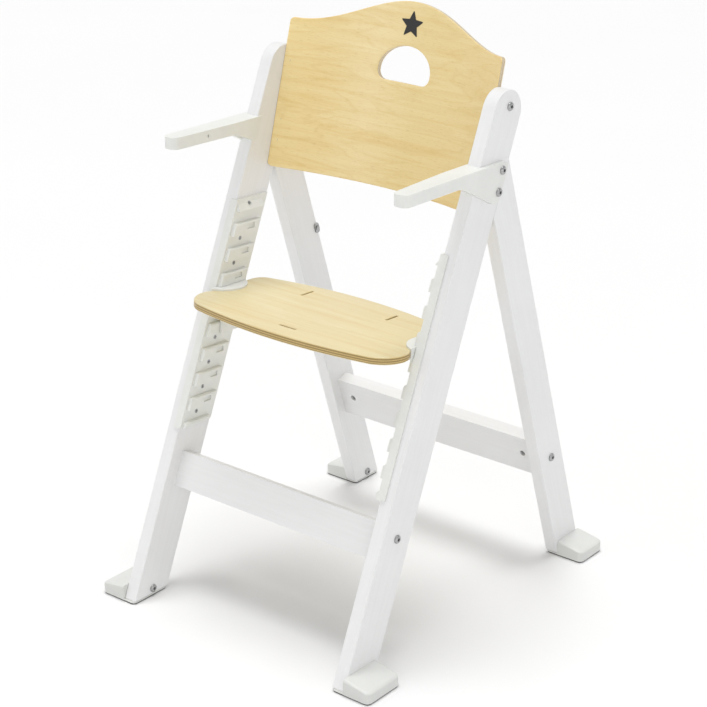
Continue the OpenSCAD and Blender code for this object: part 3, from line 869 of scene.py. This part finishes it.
# %% Seat board
def seat_outline():
    start = SEAT_FRONT + 0.0915
    half = (
        arc(0, 0.6655, 0.757, -89.6, -78.6, 12)
        + arc(LOBE_SIDE - 0.046, -0.030, 0.046, -72, 0, 14)
        + [(LOBE_SIDE - 0.001, -0.022), (SEAT_SIDE + 0.0015, -0.015), (SEAT_SIDE, -0.012)]
        + arc(SEAT_SIDE - 0.024, 0.0755, 0.024, 0, 68, 8)
        + arc(0, -0.518, 0.640, 74.5, 89.4, 10)
    )
    return [(x, y + start) for x, y in both_halves(half)]


def harness_slot(x, y, wide, long):
    r = min(wide, long) * 0.48
    corners = [(x, y), (x + wide, y), (x + wide, y + long), (x, y + long)]
    return soften(corners, r, 5)


slots = [harness_slot(s * 0.0815 - 0.0018, SEAT_FRONT + 0.159, 0.0036, 0.029) for s in (-1, 1)]
slots.append(harness_slot(-0.016, SEAT_FRONT + 0.0315, 0.032, 0.0036))
seat = flat_board(seat_outline(), SEAT_THICK, 0.0018, slots)
remember_grain(seat, SEAT_THICK)
stand(seat, lambda x, y, n: seat_place(x, y, SEAT_UNDER + SEAT_THICK / 2 + n))
crisp(as_piece(seat, "seat_plywood", SEAT_PLYWOOD, "seat", ["seat_board"]))
print("seat made")

# %% [markdown]
# ## Fasteners
# Bolts, screws and nuts are turned pieces, so each is a profile spun round an axis. A bolt has a
# hexagon socket and a rail screw has a cross, which are made by letting the socket's radius change
# with the angle. Where a fastener goes is a rule, a start, a step and a count, so one Geometry
# Nodes tree sets a row of them, and it makes the instances real because the export needs meshes.


# %% Turned profiles
CROSS_ARM = 0.28


def turned(name, profile, steps=36):
    """profile: (height, radius, shape) from the socket's floor over the rim to the tip."""
    bm = bmesh.new()
    rings = []
    for height, radius, shape in profile:
        ring = []
        for i in range(steps):
            angle = 2 * math.pi * i / steps
            r = radius
            if shape == "hex":
                r = radius * math.cos(math.pi / 6) / math.cos(angle % (math.pi / 3) - math.pi / 6)
            if shape == "cross":
                near = abs((angle + math.pi / 4) % (math.pi / 2) - math.pi / 4)
                r = min(radius, CROSS_ARM * radius / max(math.sin(near), 0.05))
            ring.append(bm.verts.new((r * math.cos(angle), r * math.sin(angle), height)))
        rings.append(ring)
    for low, high in zip(rings, rings[1:]):
        for i in range(steps):
            bm.faces.new((low[i], low[(i + 1) % steps], high[(i + 1) % steps], high[i]))
    bm.faces.new(rings[0])
    bm.faces.new(rings[-1])
    bmesh.ops.recalc_face_normals(bm, faces=bm.faces)
    mesh = bpy.data.meshes.new(name)
    bm.to_mesh(mesh)
    bm.free()
    return bpy.data.objects.new(name, mesh)


def rounds(*pairs):
    """Plain round rings of a profile, as (height, radius)."""
    return [(height, radius, "") for height, radius in pairs]


def button_bolt(long):
    socket = [(0.0005, 0.0026, "hex"), (0.0034, 0.0026, "hex")]
    rim = rounds((0.0036, 0.0029), (0.0036, 0.0037))
    dome = rounds((0.0033, 0.0046), (0.0026, 0.0057), (0.0015, 0.0063), (0.0005, 0.0065))
    shank = rounds((0.0, 0.0063), (0.0, 0.0025), (-long + 0.0008, 0.0025), (-long, 0.0018))
    return turned("button_bolt", socket + rim + dome + shank)


def rail_screw():
    socket = [(0.0004, 0.0016, "cross"), (0.0017, 0.0019, "cross")]
    head = rounds((0.0018, 0.0022), (0.0018, 0.0033), (0.0016, 0.0035))
    shank = rounds((0.0, 0.0019), (-0.0135, 0.0017), (-0.0148, 0.0006))
    return turned("rail_screw", socket + head + shank, 24)


def barrel_nut(radius, long):
    deep = long - 0.0012
    recess = rounds((deep, 0.0008), (deep, radius * 0.45), (long, radius * 0.55))
    rim = rounds((long, radius - 0.0005), (long - 0.0005, radius))
    return turned("barrel_nut", recess + rim + rounds((0.0005, radius), (0, radius * 0.9)), 32)


print("turned profiles ready")


# %% The row tree
def row_tree():
    tree = bpy.data.node_groups.new("row_of_fasteners", "GeometryNodeTree")
    for name, kind in (
        ("Fastener", "NodeSocketObject"),
        ("Start", "NodeSocketVector"),
        ("Step", "NodeSocketVector"),
        ("Turn", "NodeSocketVector"),
        ("Count", "NodeSocketInt"),
        ("Finish", "NodeSocketMaterial"),
    ):
        tree.interface.new_socket(name, in_out="INPUT", socket_type=kind)
    tree.interface.new_socket("Row", in_out="OUTPUT", socket_type="NodeSocketGeometry")
    ask = tree.nodes.new("NodeGroupInput")
    give = tree.nodes.new("NodeGroupOutput")
    line = tree.nodes.new("GeometryNodeMeshLine")
    line.mode = "OFFSET"
    piece = tree.nodes.new("GeometryNodeObjectInfo")
    place = tree.nodes.new("GeometryNodeInstanceOnPoints")
    real = tree.nodes.new("GeometryNodeRealizeInstances")
    coat = tree.nodes.new("GeometryNodeSetMaterial")
    for source, sink in (
        (ask.outputs["Count"], line.inputs["Count"]),
        (ask.outputs["Start"], line.inputs["Start Location"]),
        (ask.outputs["Step"], line.inputs["Offset"]),
        (ask.outputs["Fastener"], piece.inputs["Object"]),
        (line.outputs["Mesh"], place.inputs["Points"]),
        (piece.outputs["Geometry"], place.inputs["Instance"]),
        (ask.outputs["Turn"], place.inputs["Rotation"]),
        (place.outputs["Instances"], real.inputs["Geometry"]),
        (real.outputs["Geometry"], coat.inputs["Geometry"]),
        (ask.outputs["Finish"], coat.inputs["Material"]),
        (coat.outputs["Geometry"], give.inputs["Row"]),
    ):
        tree.links.new(source, sink)
    return tree


ROW = row_tree()
SOCKET = {item.name: item.identifier for item in ROW.interface.items_tree if item.in_out == "INPUT"}
print("row tree inputs:", SOCKET)


# %% Setting a row
def row_mesh(fastener, start, step, turn, count, finish):
    """One row of fasteners as a bmesh, in the chair's own frame."""
    scene_objects = bpy.context.scene.collection.objects
    if fastener.name not in scene_objects:
        scene_objects.link(fastener)
    holder = bpy.data.objects.new("row_holder", bpy.data.meshes.new("row_holder"))
    scene_objects.link(holder)
    modifier = holder.modifiers.new("row", "NODES")
    modifier.node_group = ROW
    modifier[SOCKET["Fastener"]] = fastener
    modifier[SOCKET["Start"]] = tuple(start)
    modifier[SOCKET["Step"]] = tuple(step)
    modifier[SOCKET["Turn"]] = tuple(turn)
    modifier[SOCKET["Count"]] = count
    modifier[SOCKET["Finish"]] = finish
    bpy.context.view_layer.update()
    mesh = bpy.data.meshes.new_from_object(holder.evaluated_get(bpy.context.evaluated_depsgraph_get()))
    bm = bmesh.new()
    bm.from_mesh(mesh)
    bpy.data.objects.remove(holder)
    bpy.data.meshes.remove(mesh)
    return bm


def fastened(name, rows, finish, body, finish_slot, nodes, sharp=40):
    whole = join(*[row_mesh(*row, finish) for row in rows])
    piece = as_piece(whole, name, finish, body, nodes)
    piece.data.set_sharp_from_angle(angle=math.radians(sharp))
    print(name, len(piece.data.polygons), "faces")
    return piece


def facing(side):
    """The turn that points a fastener's head outwards, along x."""
    return (0, side * math.pi / 2, 0)


print("row helpers ready")

# %% [markdown]
# ### Bolts through the legs
# The bolts' places follow the boards: the middle of a leg at a given height, and points up the
# side edge of the backrest. Each is made once on the right and once on the left.


# %% Places of the bolts
def on_front_leg(z):
    return (z * FRONT_SLOPE + FRONT_RUN / 2 + FRONT_FOOT, z)


def on_rear_leg(z):
    return (REAR_START - z * REAR_SLOPE + REAR_RUN / 2 + FRONT_FOOT, z)


FRONT_BOLT_HIGH, REAR_BOLT_HIGH = 0.2004, 0.1846
BACK_BOLTS = (0.0418, 0.0736, 0.1633)
BOLT_DEEP = -0.0352


def on_back_edge(v):
    y = BACK_FOOT[0] + v * math.sin(BACK_LEAN) + BOLT_DEEP * math.cos(BACK_LEAN)
    z = BACK_FOOT[1] + v * math.cos(BACK_LEAN) - BOLT_DEEP * math.sin(BACK_LEAN)
    return (y + FRONT_FOOT, z)


def bolt_rows(fastener, face, places):
    rows = []
    for side in SIDES.values():
        y, z = places[0]
        step = (0, 0, 0)
        if len(places) > 1:
            step = (0, places[1][0] - y, places[1][1] - z)
        rows.append((fastener, (side * face, y, z), step, facing(side), len(places)))
    return rows


print("top bolt of the backrest:", on_back_edge(BACK_BOLTS[2]))

# %% Bolts
long_bolt = button_bolt(0.032)
stretcher_bolt = button_bolt(0.056)
arm_bolt = button_bolt(0.039)
foot_bolt = button_bolt(0.040)
ARM_FACE = OUTER + 0.007
metal = (STEEL, "frame", "zinc_steel")
rows = bolt_rows(long_bolt, OUTER, [on_back_edge(BACK_BOLTS[2])])
fastened("bolts_top", rows, *metal, ["backrest_bolts"])
rows = bolt_rows(arm_bolt, ARM_FACE, [on_back_edge(v) for v in BACK_BOLTS[:2]])
fastened("bolts_armrest", rows, *metal, ["armrest_bolts"])
rows = bolt_rows(stretcher_bolt, OUTER, [on_front_leg(FRONT_BOLT_HIGH)])
fastened("bolts_front_stretcher", rows, *metal, ["front_stretcher_bolts"])
rows = bolt_rows(stretcher_bolt, OUTER, [on_rear_leg(REAR_BOLT_HIGH)])
fastened("bolts_rear_stretcher", rows, *metal, ["rear_stretcher_bolts"])
first, second = ((y + FRONT_FOOT, 0.013) for y in (0.042, 0.571))
step = (0, second[0] - first[0], 0)
rows = []
for side in SIDES.values():
    rows.append((foot_bolt, (side * INNER, *first), step, facing(-side), 2))
fastened("bolts_feet", rows, *metal, ["foot_bolts"])

# %% [markdown]
# ### Rail screws, barrel nuts and seat screws
# The rail is held by one small screw in each slot but the highest, and one above them. The slots
# are evenly spaced in the tilted frame, so along the leg the screws are evenly spaced too.


# %% Rail screws
def screw_place(n):
    """Where a screw stands, 27 mm behind the leg's front edge, at height n in the tilted frame."""
    back_set = 0.027
    sine, cosine = math.sin(SEAT_TILT), math.cos(SEAT_TILT)
    z = (n - back_set * sine) / (cosine + FRONT_SLOPE * sine)
    return (z * FRONT_SLOPE + back_set + FRONT_FOOT, z)


def slot_middle(n):
    return SLOT_TOP - n * SLOT_PITCH - SLOT_HIGH / 2


RAIL_FACE = INNER - 0.0045
screw = rail_screw()
top_screw = screw_place(SLOT_TOP + 0.008)
first, second = (screw_place(slot_middle(n) + 0.002) for n in (1, 2))
screw_step = (0, second[0] - first[0], second[1] - first[1])
rows = []
for side in SIDES.values():
    face = side * (RAIL_FACE + 0.002)
    rows.append((screw, (face, *first), screw_step, facing(-side), 8))
    rows.append((screw, (face, *top_screw), (0, 0, 0), facing(-side), 1))
fastened("rail_screw_rows", rows, *metal, ["rail_screws"])


# %% Barrel nuts
def across_board(lean, side_out):
    """Turn a nut's axis from z to the face of a leaning stretcher."""
    tilt = Euler((-lean, 0, 0)).to_matrix() @ Euler((-side_out * math.pi / 2, 0, 0)).to_matrix()
    return tuple(tilt.to_euler())


def nut_row(place, lean, side_out, long):
    """side_out is 1 where the nut shows on the rear face and -1 on the front face."""
    y, z = place
    below_face = 0.003
    start = Vector((0, side_out * (LEG_THICK / 2 - long - below_face), 0))
    start.rotate(Euler((-lean, 0, 0)))
    nut = barrel_nut(0.005, long)
    wide = INNER - 0.025
    return (nut, (-wide, y + start.y, z + start.z), (2 * wide, 0, 0), across_board(lean, side_out), 2)


NUT_LONG = 0.0146
rows = [
    nut_row(on_front_leg(FRONT_BOLT_HIGH), FRONT_LEAN, 1, NUT_LONG),
    nut_row(on_rear_leg(REAR_BOLT_HIGH), -REAR_LEAN, -1, NUT_LONG),
]
fastened("barrel_nuts_stretchers", rows, *metal, ["stretcher_barrel_nuts"])


# %% Seat screws and strap anchors
def seat_screw_rows():
    y_first = SEAT_FRONT + 0.115 - 0.0235 + 0.010
    under = SEAT_UNDER - 0.0028 - 0.003
    rows = []
    for side in SIDES.values():
        first = Vector(seat_place(side * 0.174, y_first, under))
        second = Vector(seat_place(side * 0.174, y_first + 0.020, under))
        rows.append((screw, first, second - first, (math.pi - SEAT_TILT, 0, 0), 2))
    return rows


fastened("seat_screw_rows", seat_screw_rows(), STEEL, "seat", "zinc_steel", ["seat_screws"])
for node, name in (("strap_anchors", "anchor_plates"), ("strap_anchor_screws", "anchor_screws")):
    bm = from_design(node)
    crisp(as_piece(bm, name, STEEL, "frame", [node]), 0.0005)
print("seat screws and anchors made")

# %% [markdown]
# ## What the design already shows right
# The dowels and the backrest's barrel nuts sit inside the wood and keep the design's own meshes.
# They only need a finish, which goes straight into their material slots.

# %% Finishes on carried-over parts
CARRIED = {"leg_dowels": BEECH, "stretcher_dowels": BEECH, "backrest_barrel_nuts": STEEL}
for node, finish in CARRIED.items():
    kept = frame["nodes"][node]
    kept.data.materials.clear()
    kept.data.materials.append(finish)
for fastener in (long_bolt, stretcher_bolt, arm_bolt, foot_bolt, screw):
    bpy.data.objects.remove(fastener)
for spare in [o for o in bpy.data.objects if o.name.split(".")[0] == "barrel_nut"]:
    bpy.data.objects.remove(spare)
print("finishes set on", list(CARRIED))

# %% [markdown]
# ## Floor and light
# The chair stands on a plain white floor that runs out of sight. A wide overhead light draws a
# soft grey pool under the chair, and two large lights, from the front left and the front right,
# model the boards. The sky lifts all the shadows. It is brightest near the horizon, so the white
# floor passes into it without an edge.


# %% Floor
def studio_floor():
    half = 30.0
    mesh = bpy.data.meshes.new("studio_floor")
    corners = [(-half, -half, 0), (half, -half, 0), (half, half, 0), (-half, half, 0)]
    mesh.from_pydata(corners, [], [(0, 1, 2, 3)])
    floor = bpy.data.objects.new("studio_floor", mesh)
    bpy.context.scene.collection.objects.link(floor)
    material, tree, shader = new_finish("pale_floor")
    place = add(tree, "ShaderNodeTexCoord").outputs["Object"]
    haze = noise(tree, place, 1.5, 2.0)
    feed(
        tree,
        shader,
        {
            "Base Color": ramp(tree, haze, [(0.0, (0.83, 0.83, 0.83)), (1.0, (0.85, 0.85, 0.85))]),
            "Roughness": 0.9,
            "Specular IOR Level": 0.0,
        },
    )
    mesh.materials.append(material)
    return floor


studio_floor()
print("floor laid")


# %% Lights
def soft_light(name, place, target, size, power):
    data = bpy.data.lights.new(name, "AREA")
    data.shape = "RECTANGLE"
    data.size, data.size_y = size
    data.energy = power
    lamp = bpy.data.objects.new(name, data)
    lamp.location = place
    lamp.rotation_euler = (Vector(target) - Vector(place)).to_track_quat("-Z", "Y").to_euler()
    bpy.context.scene.collection.objects.link(lamp)
    return lamp


soft_light("key_light", (-2.4, -3.0, 2.4), (0, 0, 0.4), (2.6, 2.6), 13)
soft_light("fill_light", (3.4, -2.2, 1.7), (0, 0, 0.4), (2.6, 2.6), 19)
overhead = bpy.data.objects.new("overhead_light", bpy.data.lights.new("overhead_light", "SUN"))
overhead.data.energy = 1.75
overhead.data.angle = math.radians(30)
overhead.rotation_euler = (math.radians(-4), math.radians(-3), 0)
bpy.context.scene.collection.objects.link(overhead)
sky = bpy.data.worlds.new("studio_sky")
sky.use_nodes = True
sky.node_tree.nodes["Background"].inputs["Color"].default_value = (1, 1, 1, 1)
direction = add(sky.node_tree, "ShaderNodeTexCoord").outputs["Generated"]
height = add(sky.node_tree, "ShaderNodeSeparateXYZ", {"Vector": direction}).outputs["Z"]
band = {"Value": height, "From Min": 0.06, "From Max": 0.30, "To Min": 1.0, "To Max": 0.58}
brightness = add(sky.node_tree, "ShaderNodeMapRange", band).outputs["Result"]
feed(sky.node_tree, sky.node_tree.nodes["Background"], {"Strength": brightness})
bpy.context.scene.world = sky
bpy.context.scene.view_settings.view_transform = "Standard"
print("lights set")
